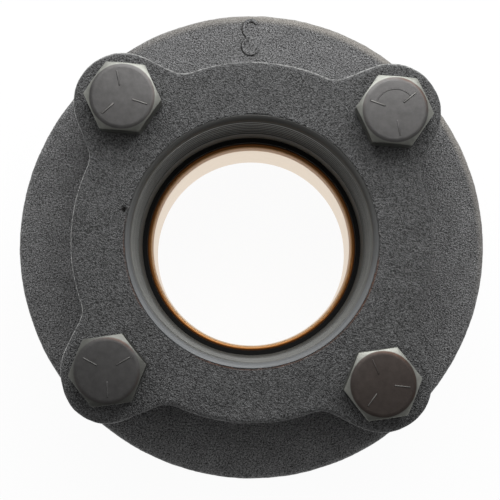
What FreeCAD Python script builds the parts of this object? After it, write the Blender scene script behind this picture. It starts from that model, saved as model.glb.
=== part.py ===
import FreeCAD, Part
import math
import os
import Sketcher
from FreeCAD import Placement, Rotation, Vector

# Flange-type dielectric union, 3 inch, iron pipe thread to solder cup.
# A four-eared iron flange with a female taper thread is bolted to a round iron
# backing flange. Between them a bronze tailpiece is held by its collar, parted
# from the iron by a rubber gasket in front and a nylon bushing behind.
# Millimetres. Z is the pipe axis, zero at the open rim of the solder cup, on
# which the fitting stands, and the threaded side is on top.

SIZES = (
    ("cup_bore", 79.5, "solder cup bore, 3 in copper tube plus its solder gap"),
    ("cup_depth", 42.2, "rim of the solder cup to the tube stop"),
    ("cup_wall", 3.2, "wall of the solder cup"),
    ("cup_lead", 0.8, "chamfer at the rim of the cup, inside and outside"),
    ("tube_stop", 1.85, "step in the bore on which the tube ends"),
    ("waist_length", 19.1, "tube stop to the face of the collar"),
    ("collar_rim", 8.85, "collar of the tailpiece, outwards from its tail"),
    ("collar_thickness", 8.0, "collar of the tailpiece"),
    ("face_edge", 1.1, "rounding of the bore where it meets the face"),
    ("gasket_setback", 1.6, "ring gasket, back from the wall of the bore"),
    ("gasket_inset", 0.8, "rim of the collar to the rim of the gasket"),
    ("gasket_height", 3.2, "ring gasket, pressed"),
    ("bushing_wall", 2.2, "sleeve and skirt of the insulating bushing"),
    ("bushing_floor", 2.5, "bushing under the collar"),
    ("bushing_reach", 1.0, "sleeve past the hub of the backing flange"),
    ("skirt_shortfall", 0.6, "skirt of the bushing below the face of the collar"),
    ("ring_gap", 0.15, "radial gap between the nested rings"),
    ("front_thickness", 31.5, "threaded flange, over its whole face"),
    ("front_wall", 20.72, "threaded flange between its ears, outwards from the thread"),
    ("ear_wall", 9.05, "round end of an ear, outwards from the bolt hole"),
    ("ear_spread", 21.0, "lean of each side of an ear, degrees"),
    ("ear_fillet", 9.0, "hollow between an ear and the round"),
    ("cast_edge", 1.3, "rounding of the cast outer edges"),
    ("draft", 1.2, "draft of the cast sides, degrees"),
    ("thread_bore", 87.16, "pipe thread, on its pitch line at the middle of its length"),
    ("mouth_lead", 1.37, "countersink at the mouth of the thread"),
    ("lip_step", 2.38, "drilled lip behind the thread, inwards from the pitch line"),
    ("lip_height", 1.6, "drilled lip behind the thread"),
    ("thread_run_out", 7.5, "last turns, cut by the lead of the tap, down to the lip"),
    ("backing_border", 20.4, "axis of a bolt to the rim of the backing flange"),
    ("backing_thickness", 18.0, "backing flange, without its hub"),
    ("backing_edge", 2.2, "rounding of the rim of the backing flange"),
    ("flange_gap", 1.5, "free space between the two flanges"),
    ("hub_wall", 7.55, "hub behind the backing flange, outwards from its bore"),
    ("hub_height", 7.0, "hub behind the backing flange"),
    ("hub_slope", 1.5, "hub radius lost over its height"),
    ("hub_fillet", 2.0, "hollow at the root of the hub"),
    ("nut_room", 14.7, "hub of the backing flange to the axis of a bolt"),
    ("bolt_hole", 17.5, "holes for the bolts in both flanges"),
    ("bolt_shank", 15.875, "5/8 in bolt"),
    ("bolt_thread", 14.4, "5/8 in bolt, on the pitch line of its thread"),
    ("bolt_length", 69.85, "under the head to the tip"),
    ("threaded_length", 38.1, "threaded length of a bolt"),
    ("tip_chamfer", 1.2, "chamfer at the tip of a bolt"),
    ("across_flats", 23.81, "head and nut, 15/16 in"),
    ("head_height", 9.9, "bolt head, with its washer face"),
    ("washer_face", 0.4, "thin round face under a bolt head"),
    ("nut_height", 13.9, "hex nut"),
    ("nut_gap", 0.1, "radial gap between bolt and nut on the pitch line"),
    ("crown", 0.95, "flat top of a head or nut, as a share of across_flats"),
    ("turn_1", -2.2, "turn of the first bolt about its axis, degrees"),
    ("turn_2", -2.2, "turn of the second bolt, degrees"),
    ("turn_3", 11.1, "turn of the third bolt, degrees"),
    ("turn_4", 11.1, "turn of the fourth bolt, degrees"),
)
BOLTS = 4
FIRST_BOLT = 45.0
HALF_TURN = 180.0
CROWN_SLOPE = math.tan(math.radians(30.0))
FLATS_TO_CORNERS = 2.0 / math.sqrt(3.0)
EAR_ROOT = 0.7
CUTTER_EXTRA = 1.0
NEAR = 0.01
SEAM_ANGLE = 1.0
EDGE_SAMPLES = 9


class Dim:
    # A value together with the sheet expression that gives it.
    def __init__(self, value, text):
        self.value = value
        self.text = text

    def __add__(self, other):
        other = dim(other)
        return Dim(self.value + other.value, f"({self.text} + {other.text})")

    def __sub__(self, other):
        other = dim(other)
        return Dim(self.value - other.value, f"({self.text} - {other.text})")

    def __mul__(self, other):
        other = dim(other)
        return Dim(self.value * other.value, f"({self.text} * {other.text})")

    def __truediv__(self, other):
        other = dim(other)
        return Dim(self.value / other.value, f"({self.text} / {other.text})")


def dim(number):
    if isinstance(number, Dim):
        return number
    return Dim(number, f"{number:.9g}")


def make_sheet(doc):
    sheet = doc.addObject("Spreadsheet::Sheet", "Sizes")
    for row, (alias, value, meaning) in enumerate(SIZES, start=1):
        sheet.set(f"A{row}", alias)
        sheet.set(f"B{row}", str(value))
        sheet.setAlias(f"B{row}", alias)
        sheet.set(f"C{row}", meaning)
    return {alias: Dim(value, f"Sizes.{alias}") for alias, value, meaning in SIZES}


doc = FreeCAD.newDocument("dielectric_union")
size = make_sheet(doc)

# Levels along the pipe axis, from the rim of the cup to the top
collar_face = size["cup_depth"] + size["waist_length"]
collar_back = collar_face - size["collar_thickness"]
front_back = collar_face + size["gasket_height"]
front_face = front_back + size["front_thickness"]
recess_floor = collar_back - size["bushing_floor"]
backing_face = front_back - size["flange_gap"]
backing_back = backing_face - size["backing_thickness"]
hub_end = backing_back - size["hub_height"]
bushing_end = hub_end - size["bushing_reach"]

# Radii of the rings that nest in one another, from the tailpiece outwards
cup_radius = size["cup_bore"] / 2
waterway_radius = cup_radius - size["tube_stop"]
tail_radius = cup_radius + size["cup_wall"]
collar_radius = tail_radius + size["collar_rim"]
sleeve_inner = tail_radius + size["ring_gap"]
sleeve_outer = sleeve_inner + size["bushing_wall"]
backing_bore = sleeve_outer + size["ring_gap"]
skirt_inner = collar_radius + size["ring_gap"]
skirt_outer = skirt_inner + size["bushing_wall"]
recess_radius = skirt_outer + size["ring_gap"]
hub_radius = backing_bore + size["hub_wall"]
bolt_offset = hub_radius + size["nut_room"]
backing_radius = bolt_offset + size["backing_border"]
thread_radius = size["thread_bore"] / 2
front_radius = thread_radius + size["front_wall"]
ear_radius = size["bolt_hole"] / 2 + size["ear_wall"]
corner_radius = size["across_flats"] * (FLATS_TO_CORNERS / 2)
crown_radius = size["across_flats"] * size["crown"] / 2


def bind(feature, path, amount):
    feature.setExpression(path, dim(amount).text)


def origin_feature(body, role):
    for feature in body.Origin.OriginFeatures:
        if feature.Role == role:
            return feature
    raise ValueError(role)


def make_body(name, level=0):
    # A part of its own, lifted to its level on the pipe axis.
    body = doc.addObject("PartDesign::Body", name)
    body.Label = name
    bind(body, "Placement.Base.z", level)
    return body


def add_sketch(body, name, plane="XY_Plane", level=0, turn=0.0):
    sketch = body.newObject("Sketcher::SketchObject", name)
    sketch.AttachmentSupport = [(origin_feature(body, plane), "")]
    sketch.MapMode = "FlatFace"
    sketch.AttachmentOffset = Placement(Vector(), Rotation(Vector(0, 0, 1), turn))
    if plane == "XY_Plane":
        bind(sketch, "AttachmentOffset.Base.z", level)
    return sketch


def pin(sketch, shape, end, across, up):
    # Ties one point of a sketch to its two distances from the origin.
    for kind, amount, axis in (("DistanceX", across, -2), ("DistanceY", up, -1)):
        if amount is None:
            continue
        if dim(amount).value == 0:
            sketch.addConstraint(Sketcher.Constraint("PointOnObject", shape, end, axis))
            continue
        value = dim(amount).value
        index = sketch.addConstraint(Sketcher.Constraint(kind, -1, 1, shape, end, value))
        bind(sketch, f"Constraints[{index}]", amount)


def draw_outline(sketch, points):
    # A closed outline of straight lines, each corner tied to its own sizes.
    corners = [Vector(dim(x).value, dim(y).value, 0) for x, y in points]
    count = len(corners)
    for index, corner in enumerate(corners):
        following = corners[(index + 1) % count]
        sketch.addGeometry(Part.LineSegment(corner, following), False)
    for index in range(count):
        following = (index + 1) % count
        sketch.addConstraint(Sketcher.Constraint("Coincident", index, 2, following, 1))
    for index, (x, y) in enumerate(points):
        pin(sketch, index, 1, x, y)


def draw_circle(sketch, radius, across=0):
    centre = Vector(dim(across).value, 0, 0)
    circle = Part.Circle(centre, Vector(0, 0, 1), dim(radius).value)
    shape = sketch.addGeometry(circle, False)
    pin(sketch, shape, 3, across, 0)
    index = sketch.addConstraint(Sketcher.Constraint("Radius", shape, dim(radius).value))
    bind(sketch, f"Constraints[{index}]", radius)


def draw_hexagon(sketch):
    # Two of the six corners lie on the X axis.
    half_flat = size["across_flats"] / 2
    half_side = corner_radius / 2
    right = [(half_side, half_flat), (corner_radius, 0), (half_side, dim(0) - half_flat)]
    left = [(dim(0) - x, y) for x, y in reversed(right)]
    draw_outline(sketch, right + left)


def spin(body, kind, name, points):
    # A ring or disc turned from its half section, added or cut away.
    sketch = add_sketch(body, f"{name}_section", "XZ_Plane")
    draw_outline(sketch, points)
    feature = body.newObject(f"PartDesign::{kind}", name)
    feature.Profile = sketch
    feature.ReferenceAxis = (sketch, ["V_Axis"])
    feature.Angle = 360.0
    doc.recompute()
    return feature


def add_pad(body, name, sketch, length):
    pad = body.newObject("PartDesign::Pad", name)
    pad.Profile = sketch
    bind(pad, "Length", length)
    doc.recompute()
    return pad


def add_cast_block(body, name, sketch, length):
    # Grows downwards from its face and widens on the way, as a mould needs.
    block = add_pad(body, name, sketch, length)
    block.Reversed = True
    bind(block, "TaperAngle", size["draft"])
    doc.recompute()
    return block


def cut_through(body, name, sketch):
    pocket = body.newObject("PartDesign::Pocket", name)
    pocket.Profile = sketch
    pocket.Type = "ThroughAll"
    pocket.Midplane = True
    doc.recompute()
    return pocket


def repeat_around(body, name, features):
    pattern = body.newObject("PartDesign::PolarPattern", name)
    pattern.Originals = features
    pattern.Axis = (origin_feature(body, "Z_Axis"), [""])
    pattern.Angle = 360.0
    pattern.Occurrences = BOLTS
    body.Tip = pattern
    doc.recompute()
    return pattern


def edges_where(shape, wanted):
    return [f"Edge{index}" for index, edge in enumerate(shape.Edges, start=1) if wanted(edge)]


def add_fillet(body, name, base, radius, wanted):
    edges = edges_where(base.Shape, wanted)
    if not edges:
        raise ValueError(f"{name} finds no edge")
    fillet = body.newObject("PartDesign::Fillet", name)
    fillet.Base = (base, edges)
    bind(fillet, "Radius", radius)
    doc.recompute()
    return fillet


def reach(point):
    return math.hypot(point.x, point.y)


def lies_at(edge, level):
    box = edge.BoundBox
    return abs(box.ZMin - level) < NEAR and abs(box.ZMax - level) < NEAR


def farthest(edge):
    return max(reach(point) for point in edge.discretize(EDGE_SAMPLES))


# Threaded flange: a round with four ears, its own zero at its rear face
def draw_ear(sketch):
    # The round end of an ear and its two sides, which spread towards the round.
    spread = math.radians(size["ear_spread"].value)
    radius = ear_radius.value
    centre = Vector(bolt_offset.value, 0, 0)
    root = front_radius * EAR_ROOT
    tangent = centre + Vector(math.sin(spread), math.cos(spread), 0) * radius
    run = tangent.x - root.value
    inner = Vector(root.value, tangent.y + run * math.tan(spread), 0)
    lower_tangent = Vector(tangent.x, -tangent.y, 0)
    lower_inner = Vector(inner.x, -inner.y, 0)
    turn = math.pi / 2 - spread
    end_circle = Part.Circle(centre, Vector(0, 0, 1), radius)
    end = sketch.addGeometry(Part.ArcOfCircle(end_circle, -turn, turn), False)
    side = sketch.addGeometry(Part.LineSegment(tangent, inner), False)
    back = sketch.addGeometry(Part.LineSegment(inner, lower_inner), False)
    mate = sketch.addGeometry(Part.LineSegment(lower_inner, lower_tangent), False)
    sketch.addConstraint(Sketcher.Constraint("Tangent", end, 2, side, 1))
    sketch.addConstraint(Sketcher.Constraint("Tangent", mate, 2, end, 1))
    sketch.addConstraint(Sketcher.Constraint("Coincident", side, 2, back, 1))
    sketch.addConstraint(Sketcher.Constraint("Coincident", back, 2, mate, 1))
    sketch.addConstraint(Sketcher.Constraint("Symmetric", back, 1, back, 2, -1))
    pin(sketch, end, 3, bolt_offset, 0)
    pin(sketch, back, 1, root, None)
    index = sketch.addConstraint(Sketcher.Constraint("Radius", end, radius))
    bind(sketch, f"Constraints[{index}]", ear_radius)
    lean = math.pi - spread
    index = sketch.addConstraint(Sketcher.Constraint("Angle", side, lean))
    bind(sketch, f"Constraints[{index}]", dim(HALF_TURN) - size["ear_spread"])


def make_threaded_flange():
    body = make_body("threaded_flange", front_back)
    thickness = size["front_thickness"]
    round_sketch = add_sketch(body, "round_outline", level=thickness)
    draw_circle(round_sketch, front_radius)
    add_cast_block(body, "round", round_sketch, thickness)
    ear_sketch = add_sketch(body, "ear_outline", level=thickness, turn=FIRST_BOLT)
    draw_ear(ear_sketch)
    ear = add_cast_block(body, "ear", ear_sketch, thickness)
    ears = repeat_around(body, "ears", [ear])

    def is_hollow(edge):
        # Upright edges where a side of an ear runs into the round, but not the
        # seam of the round, halfway between two ears.
        if edge.BoundBox.ZLength < thickness.value - NEAR:
            return False
        top = max((vertex.Point for vertex in edge.Vertexes), key=lambda point: point.z)
        turn = math.degrees(math.atan2(top.y, top.x)) - FIRST_BOLT
        halfway = HALF_TURN / BOLTS
        from_ear = abs((turn + halfway) % (2 * halfway) - halfway)
        on_round = abs(reach(top) - front_radius.value) < NEAR
        return on_round and from_ear < halfway - SEAM_ANGLE

    hollows = add_fillet(body, "ear_hollows", ears, size["ear_fillet"], is_hollow)

    def is_rim(edge):
        on_face = lies_at(edge, thickness.value) or lies_at(edge, 0)
        return on_face and farthest(edge) > front_radius.value - NEAR

    add_fillet(body, "cast_edges", hollows, size["cast_edge"], is_rim)
    cut_pipe_thread(body)
    cut_bolt_holes(body)
    return body


def cut_pipe_thread(body):
    # Bore on the pitch line, from a countersink down to the lip that the drill left.
    thickness = size["front_thickness"]
    lip_radius = thread_radius - size["lip_step"]
    run_out_level = size["lip_height"] + size["thread_run_out"]
    spin(body, "Groove", "pipe_thread_bore", [
        (0, 0),
        (lip_radius, 0),
        (lip_radius, size["lip_height"]),
        (thread_radius, run_out_level),
        (thread_radius, thickness - size["mouth_lead"]),
        (thread_radius + size["mouth_lead"], thickness),
        (0, thickness),
    ])


def cut_bolt_holes(body):
    sketch = add_sketch(body, "bolt_hole_outline", turn=FIRST_BOLT)
    draw_circle(sketch, size["bolt_hole"] / 2, bolt_offset)
    hole = cut_through(body, "bolt_hole", sketch)
    repeat_around(body, "bolt_holes", [hole])


# Backing flange: a round plate with a hub behind, zero at the end of the hub
def make_backing_flange():
    body = make_body("backing_flange", hub_end)
    back = size["hub_height"]
    face = back + size["backing_thickness"]
    floor = recess_floor - hub_end
    plate = spin(body, "Revolution", "plate", [
        (backing_bore, 0),
        (hub_radius - size["hub_slope"], 0),
        (hub_radius, back),
        (backing_radius, back),
        (backing_radius, face),
        (recess_radius, face),
        (recess_radius, floor),
        (backing_bore, floor),
    ])

    def is_rim(edge):
        on_face = lies_at(edge, face.value) or lies_at(edge, back.value)
        return on_face and farthest(edge) > backing_radius.value - NEAR

    def is_root(edge):
        return lies_at(edge, back.value) and abs(farthest(edge) - hub_radius.value) < NEAR

    rounded = add_fillet(body, "rim_edges", plate, size["backing_edge"], is_rim)
    add_fillet(body, "hub_root", rounded, size["hub_fillet"], is_root)
    cut_bolt_holes(body)
    return body


# Tailpiece: a collar in front, a solder cup behind, one bronze casting
def make_tailpiece():
    body = make_body("tailpiece")
    lead = size["cup_lead"]
    turned = spin(body, "Revolution", "tail", [
        (cup_radius + lead, 0),
        (tail_radius - lead, 0),
        (tail_radius, lead),
        (tail_radius, collar_back),
        (collar_radius, collar_back),
        (collar_radius, collar_face),
        (waterway_radius, collar_face),
        (waterway_radius, size["cup_depth"]),
        (cup_radius, size["cup_depth"]),
        (cup_radius, lead),
    ])

    def is_mouth(edge):
        return lies_at(edge, collar_face.value) and farthest(edge) < cup_radius.value

    add_fillet(body, "face_rounding", turned, size["face_edge"], is_mouth)
    return body


# Ring gasket, pressed between the threaded flange and the collar
def make_gasket():
    body = make_body("gasket", collar_face)
    inner = waterway_radius + size["gasket_setback"]
    outer = collar_radius - size["gasket_inset"]
    spin(body, "Revolution", "ring", [
        (inner, 0),
        (outer, 0),
        (outer, size["gasket_height"]),
        (inner, size["gasket_height"]),
    ])
    return body


# Insulating bushing: a sleeve on the tail, a floor and a skirt round the collar
def make_insulating_bushing():
    body = make_body("insulating_bushing", bushing_end)
    under = recess_floor - bushing_end
    over = collar_back - bushing_end
    top = collar_face - size["skirt_shortfall"] - bushing_end
    spin(body, "Revolution", "moulding", [
        (sleeve_inner, 0),
        (sleeve_outer, 0),
        (sleeve_outer, under),
        (skirt_outer, under),
        (skirt_outer, top),
        (skirt_inner, top),
        (skirt_inner, over),
        (sleeve_inner, over),
    ])
    return body


def cut_crown(body, name, level, outward):
    # Cone that takes the corners off one end of a hexagon.
    outside = corner_radius + CUTTER_EXTRA
    drop = (outside - crown_radius) * CROWN_SLOPE
    inward = level - drop if outward else level + drop
    spin(body, "Groove", name, [
        (crown_radius, level),
        (outside, level),
        (outside, inward),
    ])


def place_on_circle(body, number, level):
    # Moves a fastener to its hole, and gives it its own turn about its axis.
    angle = math.radians(FIRST_BOLT + (number - 1) * 360.0 / BOLTS)
    body.Placement = Placement(Vector(), Rotation(Vector(0, 0, 1), size[f"turn_{number}"].value))
    bind(body, "Placement.Base.x", bolt_offset * round(math.cos(angle), 9))
    bind(body, "Placement.Base.y", bolt_offset * round(math.sin(angle), 9))
    bind(body, "Placement.Base.z", level)
    bind(body, "Placement.Rotation.Angle", size[f"turn_{number}"])


# Hex bolt, its own zero at its tip
def make_bolt(number):
    body = make_body(f"hex_bolt_{number}")
    length = size["bolt_length"]
    shank = size["bolt_shank"] / 2
    thread = size["bolt_thread"] / 2
    step = shank - thread
    spin(body, "Revolution", "shank", [
        (0, 0),
        (thread - size["tip_chamfer"], 0),
        (thread, size["tip_chamfer"]),
        (thread, size["threaded_length"] - step),
        (shank, size["threaded_length"]),
        (shank, length),
        (crown_radius, length),
        (crown_radius, length + size["washer_face"]),
        (0, length + size["washer_face"]),
    ])
    outline = add_sketch(body, "head_outline", level=length + size["washer_face"])
    draw_hexagon(outline)
    add_pad(body, "head", outline, size["head_height"] - size["washer_face"])
    cut_crown(body, "head_crown", length + size["head_height"], True)
    place_on_circle(body, number, front_face - length)
    return body


# Hex nut, its own zero at its rear face
def make_nut(number):
    body = make_body(f"hex_nut_{number}")
    height = size["nut_height"]
    outline = add_sketch(body, "nut_outline")
    draw_hexagon(outline)
    add_pad(body, "nut", outline, height)
    cut_crown(body, "front_crown", height, True)
    cut_crown(body, "rear_crown", dim(0), False)
    bore = size["bolt_thread"] / 2 + size["nut_gap"]
    mouth = size["bolt_shank"] / 2 + size["nut_gap"]
    lead = mouth - bore
    spin(body, "Groove", "nut_bore", [
        (0, 0),
        (mouth, 0),
        (bore, lead),
        (bore, height - lead),
        (mouth, height),
        (0, height),
    ])
    place_on_circle(body, number, backing_back - height)
    return body


def check_document(bodies):
    for item in doc.Objects:
        if {"Invalid", "Error"} & set(item.State):
            raise RuntimeError(f"{item.Label} is not computed: {item.State}")
    for body in bodies:
        if body.Shape.isNull() or not body.Shape.isValid():
            raise RuntimeError(f"{body.Label} has no valid shape")
        if len(body.Shape.Solids) != 1:
            raise RuntimeError(f"{body.Label} is {len(body.Shape.Solids)} solids")


def main():
    bodies = [
        make_threaded_flange(),
        make_gasket(),
        make_tailpiece(),
        make_insulating_bushing(),
        make_backing_flange(),
    ]
    for number in range(1, BOLTS + 1):
        bodies.append(make_bolt(number))
        bodies.append(make_nut(number))
    doc.recompute()
    check_document(bodies)
    os.makedirs("parts", exist_ok=True)
    for body in bodies:
        body.Shape.exportStep(f"parts/{body.Label}.step")
        print(body.Label, round(body.Shape.Volume), "mm3")


main()
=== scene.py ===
import math

import bpy
from mathutils import Matrix, Vector


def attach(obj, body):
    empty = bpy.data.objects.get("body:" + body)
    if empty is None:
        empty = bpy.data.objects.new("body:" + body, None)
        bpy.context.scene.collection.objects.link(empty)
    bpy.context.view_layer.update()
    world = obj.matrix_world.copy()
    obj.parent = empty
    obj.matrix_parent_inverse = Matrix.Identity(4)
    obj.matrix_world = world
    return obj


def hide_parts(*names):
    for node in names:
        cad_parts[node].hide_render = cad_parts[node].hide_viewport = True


# Flange-type dielectric union, 3 inch, seen from its threaded side.
# The CAD solids are the frame. The two iron castings get an uneven sand-cast skin,
# the bolts and nuts get rounded edges and threads, and the bore gets its pipe thread.
# Lengths below are in millimetres and angles in degrees. Only bump distances, the lamps,
# the floor and the camera's clipping are in metres.

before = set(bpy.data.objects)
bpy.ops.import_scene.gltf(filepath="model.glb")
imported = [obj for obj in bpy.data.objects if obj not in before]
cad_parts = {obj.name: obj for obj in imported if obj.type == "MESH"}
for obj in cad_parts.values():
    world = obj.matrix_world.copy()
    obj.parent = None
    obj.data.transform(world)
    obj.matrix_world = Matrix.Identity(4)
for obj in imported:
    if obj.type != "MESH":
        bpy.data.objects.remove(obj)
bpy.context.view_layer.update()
mm = 0.001
weldReach = 0.002  # points closer than this are one
pickReach = 0.02  # how far off its wall or plane a picked point may lie
boltCircle = 67.7
boltPlaces = [
    (boltCircle * mm * math.cos(turn), boltCircle * mm * math.sin(turn))
    for turn in (math.radians(45 + 90 * number) for number in range(4))
]


def metres(values):
    return [value * mm for value in values]


# handling meshes

def deselectAll():
    active = bpy.context.view_layer.objects.active
    if active and active.mode != "OBJECT":
        bpy.ops.object.mode_set(mode="OBJECT")
    bpy.ops.object.select_all(action="DESELECT")


def pickOnly(obj):
    deselectAll()
    obj.select_set(True)
    bpy.context.view_layer.objects.active = obj


def editAll(obj):
    pickOnly(obj)
    bpy.ops.object.mode_set(mode="EDIT")
    bpy.ops.mesh.select_mode(type="VERT")
    bpy.ops.mesh.select_all(action="SELECT")


def selectWhere(obj, test, kind="VERT"):
    # Selects vertices by their place or faces by themselves, and stays in edit mode.
    pickOnly(obj)
    bpy.ops.object.mode_set(mode="EDIT")
    bpy.ops.mesh.select_mode(type=kind)
    bpy.ops.mesh.select_all(action="DESELECT")
    bpy.ops.object.mode_set(mode="OBJECT")
    if kind == "VERT":
        for vertex in obj.data.vertices:
            vertex.select = test(vertex.co)
    else:
        for face in obj.data.polygons:
            face.select = test(face)
    bpy.ops.object.mode_set(mode="EDIT")


def backToObject():
    bpy.ops.object.mode_set(mode="OBJECT")


def applyPlace(obj):
    pickOnly(obj)
    bpy.ops.object.transform_apply(location=True, rotation=True, scale=True)


def applyModifiers(obj):
    pickOnly(obj)
    for name in [modifier.name for modifier in obj.modifiers]:
        bpy.ops.object.modifier_apply(modifier=name)


def weld(obj):
    # Joins points that lie at one place and turns the faces outwards.
    editAll(obj)
    bpy.ops.mesh.remove_doubles(threshold=weldReach * mm)
    bpy.ops.mesh.normals_make_consistent(inside=False)
    backToObject()


def widenWhere(obj, test, share, centre=(0, 0)):
    # Widens or narrows what the test picks, about an upright axis.
    selectWhere(obj, test)
    bpy.ops.transform.resize(value=(share, share, 1), center_override=(*centre, 0))
    backToObject()


def widenWall(obj, radius, wider):
    # Opens a round wall about the pipe axis, from its own radius to a wider one.
    widenWhere(obj, lambda co: abs(co.xy.length - radius * mm) < pickReach * mm, wider / radius)


def lowerWhere(obj, test, drop):
    selectWhere(obj, test)
    bpy.ops.transform.translate(value=(0, 0, -drop * mm))
    backToObject()


def copyOfNode(node, name):
    # The CAD node stays as it is. Its copy is welded from loose triangles first.
    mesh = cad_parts[node].data.copy()
    mesh.name = name
    copy = bpy.data.objects.new(name, mesh)
    bpy.context.scene.collection.objects.link(copy)
    editAll(copy)
    bpy.ops.mesh.customdata_custom_splitnormals_clear()
    weld(copy)
    return copy


def drawPath(name, points):
    # A small plane is merged to one point, which is drawn on from point to point.
    deselectAll()
    bpy.ops.mesh.primitive_plane_add(size=mm, location=metres(points[0]))
    obj = bpy.context.object
    obj.name = name
    obj.data.name = name
    applyPlace(obj)
    editAll(obj)
    bpy.ops.mesh.merge(type="CENTER")
    for here, there in zip(points, points[1:]):
        step = [(to - start) * mm for start, to in zip(here, there)]
        bpy.ops.mesh.extrude_region_move(TRANSFORM_OT_translate={"value": step})
    weld(obj)
    return obj


def drawOutline(name, outline):
    # A closed outline of radii and heights.
    return drawPath(name, [(radius, 0, height) for radius, height in outline + outline[:1]])


def turnedRing(name, outline, steps):
    # A ring turned on the lathe: its closed outline is spun round the Z axis.
    ring = drawOutline(name, outline)
    editAll(ring)
    bpy.ops.mesh.spin(steps=steps, angle=2 * math.pi, center=(0, 0, 0), axis=(0, 0, 1))
    weld(ring)
    return ring


def threadRidge(name, crest, root, flat, middle, pitch, turns, steps):
    # The flat crest and two flanks of a 60 degree thread, wound upwards as a right-handed helix
    # and closed at both ends.
    flank = abs(root - crest) * math.tan(math.radians(30)) + flat / 2
    ridge = drawOutline(name, [
        (root, middle - flank),
        (crest, middle - flat / 2),
        (crest, middle + flat / 2),
        (root, middle + flank),
    ])
    screw = ridge.modifiers.new("winding", "SCREW")
    screw.axis = "Z"
    screw.angle = 2 * math.pi
    screw.screw_offset = pitch * mm
    screw.iterations = turns
    screw.steps = screw.render_steps = steps
    applyModifiers(ridge)
    editAll(ridge)
    bpy.ops.mesh.remove_doubles(threshold=weldReach * mm)
    bpy.ops.mesh.fill_holes(sides=0)
    bpy.ops.mesh.select_all(action="SELECT")
    bpy.ops.mesh.normals_make_consistent(inside=False)
    backToObject()
    return ridge


def cutWith(obj, cutter, operation="DIFFERENCE"):
    cut = obj.modifiers.new("cut", "BOOLEAN")
    cut.operation = operation
    cut.solver = "EXACT"
    cut.object = cutter
    applyModifiers(obj)
    bpy.data.objects.remove(cutter)


def smoothTo(obj, degrees):
    pickOnly(obj)
    bpy.ops.object.shade_smooth_by_angle(angle=math.radians(degrees))


def finishPiece(obj, slot, material, *nodes):
    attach(obj, "root")
    if nodes:
        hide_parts(*nodes)
    obj.data.materials.clear()
    obj.data.materials.append(material)


# places that both a shape and a finish follow

pipeThread = {
    "faceHeight": 96.0,
    "mouthRadius": 44.95,
    # radii and heights of the countersink, from the thread up
    "mouthCurve": ((43.0, 93.7), (43.2, 94.3), (43.55, 94.9), (44.05, 95.45), (44.55, 95.8)),
    "threadTop": 93.2,
    "runOutTop": 73.6,
    "lipTop": 66.1,
    "lipRadius": 41.2,
    "bottom": 64.5,
    "outside": 45.6,
    "outsideDrop": 0.6,
    "edgeDrop": 0.02,
    "taper": 1 / 32,  # in radius, so 1 in 16 across
    "crestAtMouth": 42.8,  # radius of the crests at the height of the face
    "depth": 1.9,
    "crestFlat": 0.35,
    "pitch": 3.175,
    "turns": 10,
    "sunk": 0.25,  # how far the ridge reaches into the wall
    "firstTurn": 1.5,  # the ridge begins this far below the top of the lip
    "trueBelow": 12.0,  # the ridge has its true depth this far below the face
    "steps": 120,
    "boreSteps": 192,
    "smoothAngle": 30,
    "cutterSteps": 96,
    "cutterReach": 4.0,
}

pinhole = {
    "place": (-46.0, 9.1),
    "edge": (1.05, 0.70),  # it is clear at the first radius and dark at the second
    "span": 0.8,
    "depth": 1.6,
    "reach": 1.2,
}


def crestRadius(height):
    return pipeThread["crestAtMouth"] - (pipeThread["faceHeight"] - height) * pipeThread["taper"]


# nodes of the finishes

def feed(tree, node, inputs):
    # Each input gets a value, or the output of another node.
    for key, value in inputs.items():
        if isinstance(value, bpy.types.NodeSocket):
            tree.links.new(value, node.inputs[key])
        else:
            node.inputs[key].default_value = value


def addNode(tree, kind, inputs=None, **settings):
    node = tree.nodes.new(kind)
    for key, value in settings.items():
        setattr(node, key, value)
    feed(tree, node, inputs or {})
    return node


def newMaterial(name):
    material = bpy.data.materials.new(name)
    material.use_nodes = True
    tree = material.node_tree
    tree.nodes.clear()
    shader = addNode(tree, "ShaderNodeBsdfPrincipled")
    addNode(tree, "ShaderNodeOutputMaterial", {"Surface": shader.outputs["BSDF"]})
    return material, tree, shader


def groupTree(name, inputs, outputs):
    tree = bpy.data.node_groups.new(name, "ShaderNodeTree")
    for label, kind in inputs:
        tree.interface.new_socket(name=label, in_out="INPUT", socket_type=kind)
    for label in outputs:
        tree.interface.new_socket(name=label, in_out="OUTPUT", socket_type="NodeSocketFloat")
    return tree, addNode(tree, "NodeGroupInput").outputs, addNode(tree, "NodeGroupOutput")


def objectPlace(tree):
    return addNode(tree, "ShaderNodeTexCoord").outputs["Object"]


def surfaceNormal(tree):
    return addNode(tree, "ShaderNodeNewGeometry").outputs["Normal"]


def split(tree, vector):
    return addNode(tree, "ShaderNodeSeparateXYZ", {"Vector": vector}).outputs


def reckon(tree, operation, *values):
    return addNode(tree, "ShaderNodeMath", dict(enumerate(values)), operation=operation).outputs[0]


def product(tree, first, *others):
    for other in others:
        first = reckon(tree, "MULTIPLY", first, other)
    return first


def reckonVector(tree, operation, *values):
    return addNode(tree, "ShaderNodeVectorMath", dict(enumerate(values)), operation=operation).outputs


def along(tree, vector, direction):
    return reckonVector(tree, "DOT_PRODUCT", vector, direction)["Value"]


def flattened(tree, place):
    return reckonVector(tree, "MULTIPLY", place, (1, 1, 0))["Vector"]


def fromAxis(tree, place):
    return reckonVector(tree, "LENGTH", flattened(tree, place))["Value"]


def ramp(tree, value, span, result=(0.0, 1.0)):
    # Straight from one result to the other over the span, and level beyond it.
    inputs = {"Value": value, "From Min": span[0], "From Max": span[1],
              "To Min": result[0], "To Max": result[1]}
    return addNode(tree, "ShaderNodeMapRange", inputs).outputs["Result"]


def blend(tree, share, first, second, kind="RGBA"):
    inputs = {"Factor": share, "A": first, "B": second}
    return addNode(tree, "ShaderNodeMix", inputs, data_type=kind).outputs["Result"]


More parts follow.
